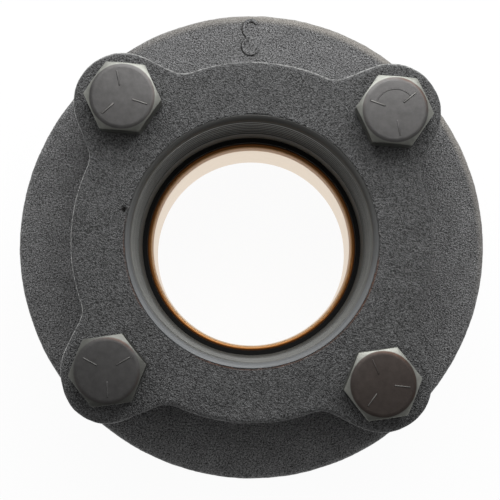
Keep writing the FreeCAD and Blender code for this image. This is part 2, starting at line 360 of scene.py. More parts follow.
def shaded(tree, colour, share):
    inputs = {0: colour, "Scale": share}
    return addNode(tree, "ShaderNodeVectorMath", inputs, operation="SCALE").outputs["Vector"]


def noise(tree, place, scale, detail, roughness=0.5):
    inputs = {"Vector": place, "Scale": scale, "Detail": detail, "Roughness": roughness}
    return addNode(tree, "ShaderNodeTexNoise", inputs).outputs["Fac"]


def bump(tree, height, strength, distance):
    inputs = {"Height": height, "Strength": strength, "Distance": distance}
    return addNode(tree, "ShaderNodeBump", inputs).outputs["Normal"]


# cast iron with a sandy skin

sandSkin = {
    "grain": 1650.0,
    "grainDetail": (3.0, 0.55),  # detail and roughness
    "cellsFiner": 1.4,
    "cellsShare": -0.35,
    "specks": (0.14, 0.54),
    "clouds": (140.0, 6.0, 0.75),  # scale, detail and roughness
    "cloudiness": ((0.3, 0.7), (0.80, 1.20)),  # a span of the clouds, and the shades at its ends
    "bump": (1.0, 0.0007),  # strength and distance
    "steepBlend": (0.1, -0.1),
}


def makeSandGrain():
    # Height of the sand grains, their light and dark specks, and slow clouds.
    inputs = [("Place", "NodeSocketVector"), ("Grain", "NodeSocketFloat")]
    tree, start, end = groupTree("sandGrain", inputs, ["Height", "Specks", "Clouds"])
    coarse = noise(tree, start["Place"], start["Grain"], *sandSkin["grainDetail"])
    finer = reckon(tree, "MULTIPLY", start["Grain"], sandSkin["cellsFiner"])
    cells = addNode(tree, "ShaderNodeTexVoronoi", {"Vector": start["Place"], "Scale": finer})
    height = reckon(tree, "MULTIPLY_ADD", cells.outputs["Distance"], sandSkin["cellsShare"], coarse)
    feed(tree, end, {
        "Height": height,
        "Specks": ramp(tree, height, sandSkin["specks"]),
        "Clouds": noise(tree, start["Place"], *sandSkin["clouds"]),
    })
    return tree


def makeSteepness():
    # 1 where the surface faces up less than the limit says, 0 on flatter ones.
    tree, start, end = groupTree("steepness", [("Limit", "NodeSocketFloat")], ["Mask"])
    upwards = split(tree, surfaceNormal(tree))["Z"]
    above = reckon(tree, "SUBTRACT", upwards, start["Limit"])
    feed(tree, end, {"Mask": ramp(tree, above, sandSkin["steepBlend"])})
    return tree


sandGrain = makeSandGrain()
steepness = makeSteepness()


def steepMask(tree, limit):
    return addNode(tree, "ShaderNodeGroup", {"Limit": limit}, node_tree=steepness).outputs["Mask"]


def grainyTone(tree, shader, place, tones):
    # Speckled and clouded iron colour, with the grain's bump already on the shader.
    inputs = {"Place": place, "Grain": sandSkin["grain"]}
    grain = addNode(tree, "ShaderNodeGroup", inputs, node_tree=sandGrain).outputs
    feed(tree, shader, {"Normal": bump(tree, grain["Height"], *sandSkin["bump"])})
    tone = blend(tree, grain["Specks"], *tones)
    return shaded(tree, tone, ramp(tree, grain["Clouds"], *sandSkin["cloudiness"]))


castIron = {
    # darkest and lightest grains of each casting
    "front": ((0.0135, 0.0135, 0.0135, 1), (0.119, 0.120, 0.121, 1)),
    "back": ((0.026, 0.026, 0.026, 1), (0.235, 0.235, 0.237, 1)),
    "roughness": 0.52,
    "metallic": (0.4, 1.0),
    # painted shade, for the inside of the pin hole and the numeral's sides
    "paintedCreaseShade": (0.012, 0.011, 0.010, 1),
    "patches": (45.0, 4.0),
    # rust at the mouth of the bore, each span from none to full
    "rust": (0.085, 0.038, 0.022, 1),
    "rustRadii": (45.9, 45.3),
    "rustSide": (15.0, -10.0),
    "rustPatches": (0.40, 0.55),
    # the painted highlight, paler and browner, on the rim of the round flange
    "paintedRimHighlight": (0.235, 0.22, 0.20, 1),
    "rimRadii": (85.4, 87.2),
    "rimBottom": 61.0,
    "rimTowards": (0.5, 0.85, 0.0),
    "rimSide": (20.0, 75.0),
    "rimShare": (0.0, 0.8),
    # painted highlight along the outer edges, with more metallic gloss there
    "paintedEdgeHighlight": (0.55, 0.55, 0.54, 1),
    "edgeRange": (0.505, 0.53),
    "facingUp": (0.05, 0.2),
    "highlightFrom": 52.0,
    "highlightRimRadii": (86.0, 86.8),
    "highlightRimShare": (1.0, 0.3),
    "highlightTowards": (-0.55, 0.75, 0.0),
    "highlightPatchWeight": 3.2,
    "highlightPatches": (1.25, 2.0),
    # limit and strength of the painted highlight, from edges that face sideways to edges that face +Y
    "topSteepness": ((0.2, 0.7), (0.6, 0.85)),
    "topHighlight": ((0.1, 0.6), (1.0, 0.42)),
    # the painted highlight breaks up into beads
    "beads": (900.0, 1.0),
    "beadHighlight": ((0.42, 0.54), (0.30, 1.0)),
}


def makeCastIron(name, tones):
    material, tree, shader = newMaterial(name)
    place = objectPlace(tree)
    side = split(tree, place)
    radius = fromAxis(tree, place)
    patches = noise(tree, place, *castIron["patches"])
    colour = grainyTone(tree, shader, place, tones)

    # rust in patches round the lower part of the mouth of the bore
    rusty = product(
        tree,
        ramp(tree, radius, metres(castIron["rustRadii"])),
        ramp(tree, side["Y"], metres(castIron["rustSide"])),
        ramp(tree, patches, castIron["rustPatches"]),
    )
    colour = blend(tree, rusty, colour, castIron["rust"])

    # painted shade: the pin hole in the face is painted dark inside
    centre = metres((*pinhole["place"], 0))
    fromHole = reckonVector(tree, "DISTANCE", flattened(tree, place), centre)["Value"]
    colour = blend(tree, ramp(tree, fromHole, metres(pinhole["edge"])), colour, castIron["paintedCreaseShade"])

    # painted highlight: a paler, browner band along the rim of the round flange, up and to the right,
    # towards the light
    towardsRim = along(tree, place, castIron["rimTowards"])
    rimHighlightBand = product(
        tree,
        ramp(tree, radius, metres(castIron["rimRadii"])),
        reckon(tree, "GREATER_THAN", side["Z"], castIron["rimBottom"] * mm),
        ramp(tree, towardsRim, metres(castIron["rimSide"]), castIron["rimShare"]),
    )
    colour = blend(tree, rimHighlightBand, colour, castIron["paintedRimHighlight"])

    # Painted highlight: the outer edges are painted bright where they turn down, most of all up and to the
    # left, towards the light. Along the top the highlight is wider and fainter than on the left.
    surface = addNode(tree, "ShaderNodeNewGeometry").outputs
    tilt = split(tree, surface["Normal"])
    towards = along(tree, surface["Normal"], castIron["highlightTowards"])
    highlightSpread = reckon(tree, "MULTIPLY_ADD", patches, castIron["highlightPatchWeight"], towards)
    # edge is the mask of the painted edge highlight
    edge = product(
        tree,
        ramp(tree, surface["Pointiness"], castIron["edgeRange"]),
        steepMask(tree, ramp(tree, tilt["Y"], *castIron["topSteepness"])),
        ramp(tree, tilt["Z"], castIron["facingUp"]),
        reckon(tree, "GREATER_THAN", radius, castIron["highlightFrom"] * mm),
        ramp(tree, radius, metres(castIron["highlightRimRadii"]), castIron["highlightRimShare"]),
        ramp(tree, highlightSpread, castIron["highlightPatches"]),
        ramp(tree, tilt["Y"], *castIron["topHighlight"]),
        ramp(tree, noise(tree, place, *castIron["beads"]), *castIron["beadHighlight"]),
    )
    feed(tree, shader, {
        "Base Color": blend(tree, edge, colour, castIron["paintedEdgeHighlight"]),
        "Metallic": ramp(tree, edge, (0, 1), castIron["metallic"]),
        "Roughness": castIron["roughness"],
    })
    return material


numeralPaintedShade = {
    "steepness": 0.88,
    "towards": (-0.85, -0.55, 0.0),
    "facing": (0.0, 0.3),
}


def makeNumeralIron():
    # The cast numeral's steep sides that face down and to the left are painted dark: painted shade.
    material, tree, shader = newMaterial("numeralCastIron")
    iron = grainyTone(tree, shader, objectPlace(tree), castIron["back"])
    turned = along(tree, surfaceNormal(tree), numeralPaintedShade["towards"])
    shadedSides = product(
        tree,
        steepMask(tree, numeralPaintedShade["steepness"]),
        ramp(tree, turned, numeralPaintedShade["facing"]),
    )
    feed(tree, shader, {
        "Base Color": blend(tree, shadedSides, iron, castIron["paintedCreaseShade"]),
        "Metallic": castIron["metallic"][0],
        "Roughness": castIron["roughness"],
    })
    return material


# the machined iron of the bore

machinedIron = {
    # root is painted shade and crest a painted highlight
    "root": (0.042, 0.043, 0.039, 1),
    "crest": (0.36, 0.363, 0.345, 1),
    "crestRange": (0.30, 0.08),  # outwards from the crest line
    "evenShare": 0.20,
    "brightFrom": (24.0, 40.0),
    "paintedCrestLightHeights": (76.0, 92.0),
    "paintedCrestLightShare": (0.35, 1.0),
    "threadedFrom": (-2.0, 1.0),  # upwards from the top of the run-out
    "threadedShare": (0.25, 1.0),
    "countersink": ((0.105, 0.110, 0.114, 1), (0.042, 0.042, 0.040, 1)),
    "countersinkSide": (-25.0, 20.0),
    "countersinkHeights": (93.7, 94.5),
    "ringStretch": (40.0, 40.0, 2600.0),
    "rings": (1.0, 3.0),
    "ringShade": ((0.3, 0.7), (0.8, 1.2)),
    "roughness": 0.55,
    "metallic": 0.15,
    "bump": (0.6, 0.00003),
}


def makeMachinedIron():
    material, tree, shader = newMaterial("machinedIron")
    place = objectPlace(tree)
    side = split(tree, place)

    # painted light: in the upper part of the bore the crests of the thread are painted bright and the roots
    # painted dark, the crests dimmer further down, and evenly grey elsewhere; below the run-out the bore is
    # painted darker still
    straightened = reckon(tree, "MULTIPLY_ADD", side["Z"], -pipeThread["taper"], fromAxis(tree, place))
    crestSpan = [crestRadius(0) + beyond for beyond in machinedIron["crestRange"]]
    crests = product(
        tree,
        ramp(tree, straightened, metres(crestSpan)),
        ramp(tree, side["Z"], metres(machinedIron["paintedCrestLightHeights"]), machinedIron["paintedCrestLightShare"]),
    )
    bright = ramp(tree, side["Y"], metres(machinedIron["brightFrom"]))
    threadedSpan = [pipeThread["runOutTop"] + beyond for beyond in machinedIron["threadedFrom"]]
    share = product(
        tree,
        blend(tree, bright, machinedIron["evenShare"], crests, "FLOAT"),
        ramp(tree, side["Z"], metres(threadedSpan), machinedIron["threadedShare"]),
    )
    threaded = blend(tree, share, machinedIron["root"], machinedIron["crest"])
    # painted light: the countersink is painted lighter on its lower side, which faces the light, and darker
    # on its upper side, which faces away
    above = ramp(tree, side["Y"], metres(machinedIron["countersinkSide"]))
    rounded = blend(tree, above, *machinedIron["countersink"])
    high = ramp(tree, side["Z"], metres(machinedIron["countersinkHeights"]))
    colour = blend(tree, high, threaded, rounded)

    # fine rings left by the cutting tool
    inputs = {"Vector": place, "Scale": machinedIron["ringStretch"]}
    stretched = addNode(tree, "ShaderNodeMapping", inputs).outputs["Vector"]
    rings = noise(tree, stretched, *machinedIron["rings"])
    feed(tree, shader, {
        "Base Color": shaded(tree, colour, ramp(tree, rings, *machinedIron["ringShade"])),
        "Roughness": machinedIron["roughness"],
        "Metallic": machinedIron["metallic"],
        "Normal": bump(tree, rings, *machinedIron["bump"]),
    })
    return material


# steel of the bolts and nuts

boltSteel = {
    "side": (0.20, 0.203, 0.186, 1),
    "dullSide": (0.105, 0.106, 0.098, 1),
    "dullSpan": (-40.0, -80.0),
    "top": (0.082, 0.080, 0.079, 1),
    "topHeights": (105.15, 105.30),
    "brownTop": (0.066, 0.055, 0.050, 1),
    "brownSpan": (20.0, 90.0),
    "mark": (0.150, 0.146, 0.140, 1),
    "markHeights": (105.74, 105.86),
    "rust": (0.080, 0.045, 0.032, 1),
    "rustHeight": 105.35,
    "rustReach": (0.2, 0.0),
    "rustShare": (0.0, 0.9),
    "rustPatches": (90.0, 3.0),
    "rustBreaks": (0.42, 0.60),
    "rustTowards": (0.80, 0.60, 0.0),
    "rustFacing": ((0.0, 0.3), (0.15, 1.0)),
    "rustSpan": (-90.0, 10.0),
    "rustSpanShare": (0.3, 1.0),
    "scale": (420.0, 5.0, 0.6),
    "scaleShade": (0.7, 1.3),
    "roughness": 0.43,
    "metallic": 1.0,
    "bump": (0.7, 0.00004),
}


def makeBoltSteel():
    material, tree, shader = newMaterial("plainBoltSteel")
    place = objectPlace(tree)
    side = split(tree, place)
    upperRight = reckon(tree, "ADD", side["X"], side["Y"])
    lowerRight = reckon(tree, "SUBTRACT", side["X"], side["Y"])

    # the trimmed sides are duller on the lower left bolt
    dull = ramp(tree, upperRight, metres(boltSteel["dullSpan"]))
    trimmed = blend(tree, dull, boltSteel["side"], boltSteel["dullSide"])
    # the forged tops are darker, browner to the lower right, and their marks are rubbed brighter
    brown = ramp(tree, lowerRight, metres(boltSteel["brownSpan"]))
    forged = blend(tree, brown, boltSteel["top"], boltSteel["brownTop"])
    marked = blend(tree, ramp(tree, side["Z"], metres(boltSteel["markHeights"])), forged, boltSteel["mark"])
    colour = blend(tree, ramp(tree, side["Z"], metres(boltSteel["topHeights"])), trimmed, marked)

    # a broken line of rust runs round the rounded edge of the top
    fromLine = reckon(tree, "SUBTRACT", side["Z"], boltSteel["rustHeight"] * mm)
    turned = along(tree, surfaceNormal(tree), boltSteel["rustTowards"])
    rusty = product(
        tree,
        ramp(tree, reckon(tree, "ABSOLUTE", fromLine), metres(boltSteel["rustReach"]),
             boltSteel["rustShare"]),
        ramp(tree, noise(tree, place, *boltSteel["rustPatches"]), boltSteel["rustBreaks"]),
        ramp(tree, turned, *boltSteel["rustFacing"]),
        ramp(tree, lowerRight, metres(boltSteel["rustSpan"]), boltSteel["rustSpanShare"]),
    )
    colour = blend(tree, rusty, colour, boltSteel["rust"])
    scale = noise(tree, place, *boltSteel["scale"])
    feed(tree, shader, {
        "Base Color": shaded(tree, colour, ramp(tree, scale, (0, 1), boltSteel["scaleShade"])),
        "Roughness": boltSteel["roughness"],
        "Metallic": boltSteel["metallic"],
        "Normal": bump(tree, scale, *boltSteel["bump"]),
    })
    return material


# bronze of the tailpiece

turnedBronze = {
    "clean": ((0.76, 0.60, 0.42, 1), (0.84, 0.68, 0.50, 1)),
    "clouds": (160.0, 4.0),
    "outside": (0.56, 0.36, 0.17, 1),
    "outsideRadii": (40.4, 41.2),
    "dulled": (0.62, 0.38, 0.19, 1),
    "dulledHeights": (52.0, 54.0),
    "ragged": (-1.0, 1.0),  # how far the dulled edge wanders down and up
    "collarFaceTones": ((0.21, 0.085, 0.021, 1), (0.080, 0.029, 0.009, 1)),
    "collarFaceRadii": (38.0, 39.2),
    "faceHeights": (60.9, 61.2),
    "roughness": (0.28, 0.55),
    "metallic": (1.0, 0.3),
    "bump": (0.5, 0.00002),
}


def makeTurnedBronze():
    # Bright inside, browner outside, and dulled near the front end of its wall.
    material, tree, shader = newMaterial("turnedBronze")
    place = objectPlace(tree)
    height = split(tree, place)["Z"]
    radius = fromAxis(tree, place)
    cloud = noise(tree, place, *turnedBronze["clouds"])
    clean = blend(tree, cloud, *turnedBronze["clean"])
    outside = ramp(tree, radius, metres(turnedBronze["outsideRadii"]))
    bare = blend(tree, outside, clean, turnedBronze["outside"])
    wander = ramp(tree, cloud, (0, 1), metres(turnedBronze["ragged"]))
    dulled = ramp(tree, reckon(tree, "ADD", wander, height), metres(turnedBronze["dulledHeights"]))
    wall = blend(tree, dulled, bare, turnedBronze["dulled"])

    # on the collar's front face the colour goes from golden at the inner edge to dark brown at the outer
    # edge
    outwards = ramp(tree, radius, metres(turnedBronze["collarFaceRadii"]))
    collarFaceTones = blend(tree, outwards, *turnedBronze["collarFaceTones"])
    onFace = ramp(tree, height, metres(turnedBronze["faceHeights"]))
    dulledWall = reckon(tree, "SUBTRACT", dulled, onFace)
    feed(tree, shader, {
        "Base Color": blend(tree, onFace, wall, collarFaceTones),
        "Metallic": ramp(tree, dulledWall, (0, 1), turnedBronze["metallic"]),
        "Roughness": ramp(tree, dulledWall, (0, 1), turnedBronze["roughness"]),
        "Normal": bump(tree, cloud, *turnedBronze["bump"]),
    })
    return material


# rubber and nylon, of one colour with a slight cloudiness

blackRubber = {
    "tones": ((0.003, 0.003, 0.003, 1), (0.007, 0.007, 0.0065, 1)),
    "clouds": (700.0, 4.0),
    "roughness": 0.8,
    "gloss": 0.15,
    "bump": (0.5, 0.00003),
}
naturalNylon = {
    "tones": ((0.70, 0.67, 0.58, 1), (0.80, 0.77, 0.69, 1)),
    "clouds": (300.0, 4.0),
    "roughness": 0.45,
    "gloss": 0.5,
    "bump": (0.5, 0.00002),
}


def makePlainFinish(name, plain):
    material, tree, shader = newMaterial(name)
    cloud = noise(tree, objectPlace(tree), *plain["clouds"])
    feed(tree, shader, {
        "Base Color": blend(tree, cloud, *plain["tones"]),
        "Roughness": plain["roughness"],
        "Specular IOR Level": plain["gloss"],
        "Normal": bump(tree, cloud, *plain["bump"]),
    })
    return material


frontIronFinish = makeCastIron("frontCastIron", castIron["front"])
backIronFinish = makeCastIron("backCastIron", castIron["back"])
numeralIronFinish = makeNumeralIron()
machinedIronFinish = makeMachinedIron()
boltSteelFinish = makeBoltSteel()
bronzeFinish = makeTurnedBronze()
rubberFinish = makePlainFinish("blackRubber", blackRubber)
nylonFinish = makePlainFinish("naturalNylon", naturalNylon)
print("materials made")


# the uneven skin of a sand casting

def spread(obj, growth, turn=0):
    # Makes up for what the remesh rounds off, and turns the casting in its bolt holes.
    editAll(obj)
    bpy.ops.transform.resize(value=(growth, growth, 1), center_override=(0, 0, 0))
    bpy.ops.transform.rotate(value=math.radians(turn), orient_axis="Z", center_override=(0, 0, 0))
    backToObject()


def remeshEvenly(obj, voxel):
    remesh = obj.modifiers.new("evenMesh", "REMESH")
    remesh.mode = "VOXEL"
    remesh.voxel_size = voxel * mm
    applyModifiers(obj)


def nudge(obj, centre, span, move, reach):
    # Pushes one small area of the casting, and less and less of what is around it.
    middle = Vector(centre) * mm
    selectWhere(obj, lambda co: (co - middle).length < span * mm)
    bpy.ops.transform.translate(
        value=metres(move),
        use_proportional_edit=True,
        proportional_edit_falloff="SMOOTH",
        proportional_size=reach * mm,
    )
    backToObject()


def addSkin(obj, layers, smoothAngle):
    # Each layer has the size of its unevenness and its strength.
    for number, (size, strength) in enumerate(layers):
        cloud = bpy.data.textures.new(f"{obj.name}Skin{number}", "CLOUDS")
        cloud.noise_scale = size * mm
        cloud.noise_depth = 2
        skin = obj.modifiers.new(cloud.name, "DISPLACE")
        skin.texture = cloud
        skin.texture_coords = "LOCAL"
        skin.mid_level = 0.5
        skin.strength = strength * mm
    applyModifiers(obj)
    smoothTo(obj, smoothAngle)


threadedFlange = {
    "boreRadii": (43.58, 41.2),
    "growth": 1.002,
    "turn": -0.5,
    "voxel": 0.8,
    "fullEar": ((-55.0, -65.0, 90.0), 6.0, (-0.3, -1.0, 0), 12.0),  # a fuller side of one ear
    "skin": ((7.0, 0.30), (1.9, 0.16)),
    "smoothAngle": 60,
}


def makeThreadedFlange():
    casting = copyOfNode("threaded_flange", "threadedFlangeCasting")
    # the machined bore is a piece of its own, so the casting is opened up for it
    for radius in threadedFlange["boreRadii"]:
        widenWall(casting, radius, pipeThread["mouthRadius"])
    weld(casting)
    spread(casting, threadedFlange["growth"], threadedFlange["turn"])
    remeshEvenly(casting, threadedFlange["voxel"])
    nudge(casting, (*pinhole["place"], pipeThread["faceHeight"]), pinhole["span"],
          (0, 0, -pinhole["depth"]), pinhole["reach"])
    nudge(casting, *threadedFlange["fullEar"])
    addSkin(casting, threadedFlange["skin"], threadedFlange["smoothAngle"])
    finishPiece(casting, "cast_iron", frontIronFinish, "threaded_flange")


backingFlange = {
    "nestRadii": (54.3, 45.45),  # walls round the bushing
    "offAxis": 0.65,
    "growth": 1.0035,
    "voxel": 1.0,
    "skin": ((8.0, 0.32), (2.4, 0.18)),
    "smoothAngle": 60,
}


def makeBackingFlange():
    casting = copyOfNode("backing_flange", "backingFlangeCasting")
    # it lies a little to one side in its bolt holes, and stays clear of the bushing
    offAxis = backingFlange["offAxis"]
    for radius in backingFlange["nestRadii"]:
        widenWall(casting, radius, radius + offAxis)
    editAll(casting)
    bpy.ops.transform.translate(value=(0, offAxis * mm, 0))
    backToObject()
    spread(casting, backingFlange["growth"])
    remeshEvenly(casting, backingFlange["voxel"])
    addSkin(casting, backingFlange["skin"], backingFlange["smoothAngle"])
    finishPiece(casting, "cast_iron", backIronFinish, "backing_flange")


makeThreadedFlange()
makeBackingFlange()
print("castings made")


# the machined bore and its taper thread, with the places from pipeThread

def makeBore():
    top, bottom = pipeThread["faceHeight"], pipeThread["bottom"]
    rootHeights = (pipeThread["runOutTop"], pipeThread["threadTop"])
    bore = turnedRing("machinedBore", [
        (pipeThread["lipRadius"], bottom),
        (pipeThread["lipRadius"], pipeThread["lipTop"]),
        *((crestRadius(height) + pipeThread["depth"], height) for height in rootHeights),
        *pipeThread["mouthCurve"],
        (pipeThread["mouthRadius"], top - pipeThread["edgeDrop"]),
        (pipeThread["outside"], top - pipeThread["outsideDrop"]),
        (pipeThread["outside"], bottom),
    ], pipeThread["boreSteps"])
    smoothTo(bore, pipeThread["smoothAngle"])
    finishPiece(bore, "cast_iron", machinedIronFinish)


def makePipeThread():
    # The ridge is wound straight, tapered as a whole, and cut off below the countersink.
    top, pitch = pipeThread["faceHeight"], pipeThread["pitch"]
    crest = crestRadius(0)
    # the taper deepens the ridge too, so it is drawn shallower
    growth = crestRadius(top - pipeThread["trueBelow"]) / crest
    root = crest + pipeThread["depth"] / growth + pipeThread["sunk"]
    middle = pipeThread["lipTop"] - pipeThread["firstTurn"] + pitch / 2
    ridge = threadRidge("pipeThread", crest, root, pipeThread["crestFlat"], middle,
                        pitch, pipeThread["turns"], pipeThread["steps"])
    heights = [vertex.co.z for vertex in ridge.data.vertices]
    taper = ridge.modifiers.new("taper", "SIMPLE_DEFORM")
    taper.deform_method = "TAPER"
    taper.deform_axis = "Z"
    taper.factor = pipeThread["taper"] / (crest * mm) * (max(heights) - min(heights))
    applyModifiers(ridge)
    reach = pipeThread["cutterReach"]
    deselectAll()
    bpy.ops.mesh.primitive_cylinder_add(
        vertices=pipeThread["cutterSteps"],
        radius=(pipeThread["mouthRadius"] + reach) * mm,
        depth=2 * reach * mm,
        location=(0, 0, (pipeThread["mouthCurve"][0][1] + reach) * mm),
    )
    cutWith(ridge, bpy.context.object)
    smoothTo(ridge, pipeThread["smoothAngle"])
    finishPiece(ridge, "cast_iron", machinedIronFinish)


makeBore()
makePipeThread()
print("bore and pipe thread made")


# bolts and nuts

hexBolt = {
    "headTop": 105.9,
    "topDrop": 0.35,
    "topShare": 0.973,
    "topEdge": 0.95,
    "crownStart": 104.3,
    "crownDrop": 0.53,
    "edge": 0.28,
    "smoothAngle": 28,
    "shankRadius": 7.9375,
    "coreRadius": 7.2,
    "minorRadius": 6.55,
    "threadEnd": 64.0,
    "pitch": 2.309,
    "turns": 5,
    "steps": 64,
    "sunk": 0.15,
    "tip": 26.15,
    "tipLength": 8.5,
    "tipClear": 0.02,
    "tipEdge": 1.3,
    "markInner": 3.6,
    "markOuter": 9.5,
    "markWidth": 0.95,
    "markTaper": (0.9, 0.35),
    "markEdge": 0.08,
    # the turn and rise of each grade line, bolt by bolt
    "marks": (
        ((42.8, 0.34), (162.8, 0.34), (-77.2, 0.16)),
        ((-15.2, 0.34), (104.8, 0.16), (-135.2, 0.34)),
        ((154.8, 0.24), (32.8, 0.24), (-85.2, 0.20)),
        ((-3.2, 0.34), (-123.2, 0.30), (116.8, 0.22)),
    ),
    "ring": (7.2, 0.8, 0.13),  # radius, width and rise
    "ringSteps": 72,
    "ringArc": (40, 155),
}


def makeTipThread():
    # Two turns stand clear of the nut. The ridge is rounded off at the tip of the bolt.
    major, pitch = hexBolt["shankRadius"], hexBolt["pitch"]
    root = hexBolt["minorRadius"] - hexBolt["sunk"]
    crestFlat = pitch / 8
    ridge = threadRidge("tipThread", major, root, crestFlat, hexBolt["tip"] - pitch / 2,
                        pitch, hexBolt["turns"], hexBolt["steps"])
    deselectAll()
    bpy.ops.mesh.primitive_cylinder_add(
        vertices=hexBolt["steps"],
        radius=(major + hexBolt["tipClear"]) * mm,
        depth=hexBolt["tipLength"] * mm,
        location=(0, 0, (hexBolt["tip"] + hexBolt["tipLength"] / 2) * mm),
    )
    keep = bpy.context.object
    applyPlace(keep)
    low = (hexBolt["tip"] + pickReach) * mm
    selectWhere(keep, lambda face: face.center.z < low, "FACE")
    bpy.ops.mesh.bevel(offset=hexBolt["tipEdge"] * mm, segments=1, affect="EDGES")
    backToObject()
    cutWith(ridge, keep, "INTERSECT")
    return ridge


def moveTo(obj, centre):
    obj.location = (*centre, 0)
    applyPlace(obj)
    return obj


def makeMarks(number, centre):
    # Three raised grade lines on the head, each a bar with sloping sides. Some are faint.
    bars = []
    length = hexBolt["markOuter"] - hexBolt["markInner"]
    middle = (hexBolt["markOuter"] + hexBolt["markInner"]) / 2
    under = hexBolt["headTop"] - hexBolt["topDrop"]
    for turn, rise in hexBolt["marks"][number]:
        deselectAll()
        bpy.ops.mesh.primitive_cube_add(size=mm, location=metres((middle, 0, under)))
        bar = bpy.context.object
        bar.scale = (length, hexBolt["markWidth"], 2 * rise)
        applyPlace(bar)
        selectWhere(bar, lambda co: co.z > under * mm)
        bpy.ops.transform.resize(value=(*hexBolt["markTaper"], 1))
        bpy.ops.mesh.select_all(action="SELECT")
        bpy.ops.mesh.bevel(offset=hexBolt["markEdge"] * mm, segments=2, affect="EDGES")
        backToObject()
        bar.rotation_euler = (0, 0, math.radians(turn))
        applyPlace(bar)
        bars.append(moveTo(bar, centre))
    return bars


def makeHeadRing(centre):
    # Part of a raised ring round the middle of a head, cut out of a full one.
    radius, width, rise = hexBolt["ring"]
    under = hexBolt["headTop"] - hexBolt["topDrop"]
    ring = turnedRing("headRing", [
        (radius - width / 2, under - rise),
        (radius - width / 8, under + rise),
        (radius + width / 8, under + rise),
        (radius + width / 2, under - rise),
    ], hexBolt["ringSteps"])
    for degrees, side in zip(hexBolt["ringArc"], (-1, 1)):
        turn = math.radians(degrees)
        editAll(ring)
        bpy.ops.mesh.bisect(
            plane_co=(0, 0, 0), use_fill=True, clear_outer=True,
            plane_no=(-side * math.sin(turn), side * math.cos(turn), 0),
        )
        backToObject()
    return moveTo(ring, centre)


def mergeFlats(obj, degrees=0.6):
    editAll(obj)
    bpy.ops.mesh.dissolve_limited(angle_limit=math.radians(degrees))
    backToObject()


def roundEdges(obj, width, degrees=20):
    bevel = obj.modifiers.new("softEdges", "BEVEL")
    bevel.limit_method = "ANGLE"
    bevel.angle_limit = math.radians(degrees)
    bevel.width = width * mm
    bevel.segments = 2
    applyModifiers(obj)


def shapeBolt(bolt, centre):
    # The crown and top of the head are lowered, and the top is narrowed and rounded off.
    top, crownStart, reach = metres((hexBolt["headTop"], hexBolt["crownStart"], pickReach))
    lowered = top - reach - hexBolt["topDrop"] * mm
    lowerWhere(bolt, lambda co: crownStart < co.z < top - reach, hexBolt["crownDrop"])
    lowerWhere(bolt, lambda co: co.z > top - reach, hexBolt["topDrop"])
    widenWhere(bolt, lambda co: co.z > lowered, hexBolt["topShare"], centre)
    # the threaded length is thinned to the root of its thread
    end, limit = metres((hexBolt["threadEnd"], hexBolt["coreRadius"] + pickReach))
    thinner = hexBolt["minorRadius"] / hexBolt["coreRadius"]
    widenWhere(bolt, lambda co: co.z < end and math.dist(co.xy, centre) < limit, thinner, centre)
    mergeFlats(bolt)
    selectWhere(bolt, lambda face: face.center.z > lowered, "FACE")
    bpy.ops.mesh.bevel(offset=hexBolt["topEdge"] * mm, segments=4, affect="EDGES")
    backToObject()
    roundEdges(bolt, hexBolt["edge"])


def makeBolts():
    tipThread = makeTipThread()
    for number, centre in enumerate(boltPlaces):
        node = f"hex_bolt_{number + 1}"
        bolt = copyOfNode(node, f"hexBolt{number + 1}")
        shapeBolt(bolt, centre)
        turns = tipThread.copy()
        turns.data = tipThread.data.copy()
        bpy.context.scene.collection.objects.link(turns)
        extras = [moveTo(turns, centre), *makeMarks(number, centre)]
        if number == 0:
            extras.append(makeHeadRing(centre))
        pickOnly(bolt)
        for extra in extras:
            extra.select_set(True)
        bpy.ops.object.join()
        smoothTo(bolt, hexBolt["smoothAngle"])
        finishPiece(bolt, "bolt_steel", boltSteelFinish, node)
    bpy.data.objects.remove(tipThread)


hexNut = {
    "edge": 0.25,
    "smoothAngle": 28,
}


def makeNuts():
    for number in range(1, 5):
        node = f"hex_nut_{number}"
        nut = copyOfNode(node, f"hexNut{number}")
        mergeFlats(nut)
        roundEdges(nut, hexNut["edge"])
        smoothTo(nut, hexNut["smoothAngle"])
        finishPiece(nut, "nut_steel", boltSteelFinish, node)


makeBolts()
makeNuts()
print("bolts and nuts made")


# the plain turned and moulded pieces stay the CAD solids

for node, slot, finish in (
    ("tailpiece", "bronze", bronzeFinish),
    ("gasket", "gasket_rubber", rubberFinish),
    ("insulating_bushing", "bushing_nylon", nylonFinish),
):
    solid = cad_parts[node]
    solid.data.materials.clear()
    solid.data.materials.append(finish)
print("plain pieces finished")


# raised size numeral on the backing flange

numeral = {
    # centre, half width and height, first and last angle of each arc
    "arcs": (
        ((-4.35, 83.45), (2.85, 3.25), 40, 245),
        ((-4.10, 76.75), (3.05, 3.10), 118, 340),
    ),
    "steps": 10,
    "strokeWidth": 1.7,
    "strokeHeight": 1.5,
    "strokeRoundness": 3,
    "centreHeight": 62.8,
    "smoothAngle": 60,
}


def makeNumeral():
    # A half-sunk round stroke, swept along two arcs. The 3 stands on its head.
    points = []
    for (x, y), (across, up), first, last in numeral["arcs"]:
        for step in range(numeral["steps"] + 1):
            turn = math.radians(first + (last - first) * step / numeral["steps"])
            points.append((x + across * math.cos(turn), y + up * math.sin(turn), 0))
    drawPath("sizeNumeral", points)
    bpy.ops.object.convert(target="CURVE")
    stroke = bpy.context.object
    stroke.data.bevel_depth = numeral["strokeWidth"] / 2 * mm
    stroke.data.bevel_resolution = numeral["strokeRoundness"]
    stroke.data.use_fill_caps = True
    bpy.ops.object.convert(target="MESH")
    stroke = bpy.context.object
    stroke.scale = (1, 1, numeral["strokeHeight"] / numeral["strokeWidth"])
    stroke.location = (0, 0, numeral["centreHeight"] * mm)
    applyPlace(stroke)
    weld(stroke)
    smoothTo(stroke, numeral["smoothAngle"])
    finishPiece(stroke, "cast_iron", numeralIronFinish)


makeNumeral()
print("numeral made")


# floor, light and camera

